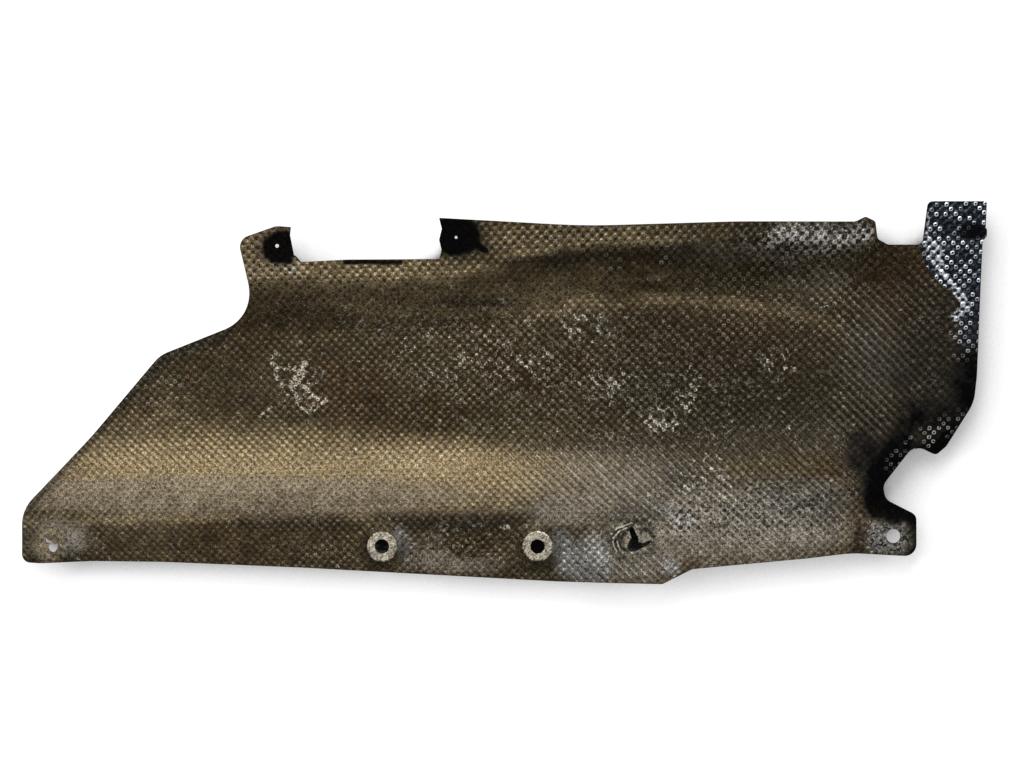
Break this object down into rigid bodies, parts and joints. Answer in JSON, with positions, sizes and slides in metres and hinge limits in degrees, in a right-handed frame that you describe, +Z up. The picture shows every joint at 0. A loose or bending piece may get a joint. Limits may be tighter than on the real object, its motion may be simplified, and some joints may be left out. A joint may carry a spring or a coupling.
{
  "type": "exhaust heat shield",
  "caption": "Pressed sheet of embossed aluminium with a long shallow pan, a flange with raised bolt seats, an ear and upper tabs, that keeps exhaust heat off its surroundings; worn and torn.",
  "frame": {"origin": "under the middle of the outline's box, on the floor that the pan lies on", "axes": "+X along the shield towards the closed end of its pan, +Y across it towards the tabs, +Z up out of the pan"},
  "size_m": [0.58, 0.23, 0.0257],
  "materials": {
    "sheet": "embossed all over with small dimples, heat-stained, sooty and corroded, bare where bolts sat"
  },
  "bodies": {
    "root": {"heat_shield": "sheet"}
  },
  "joints": []
}
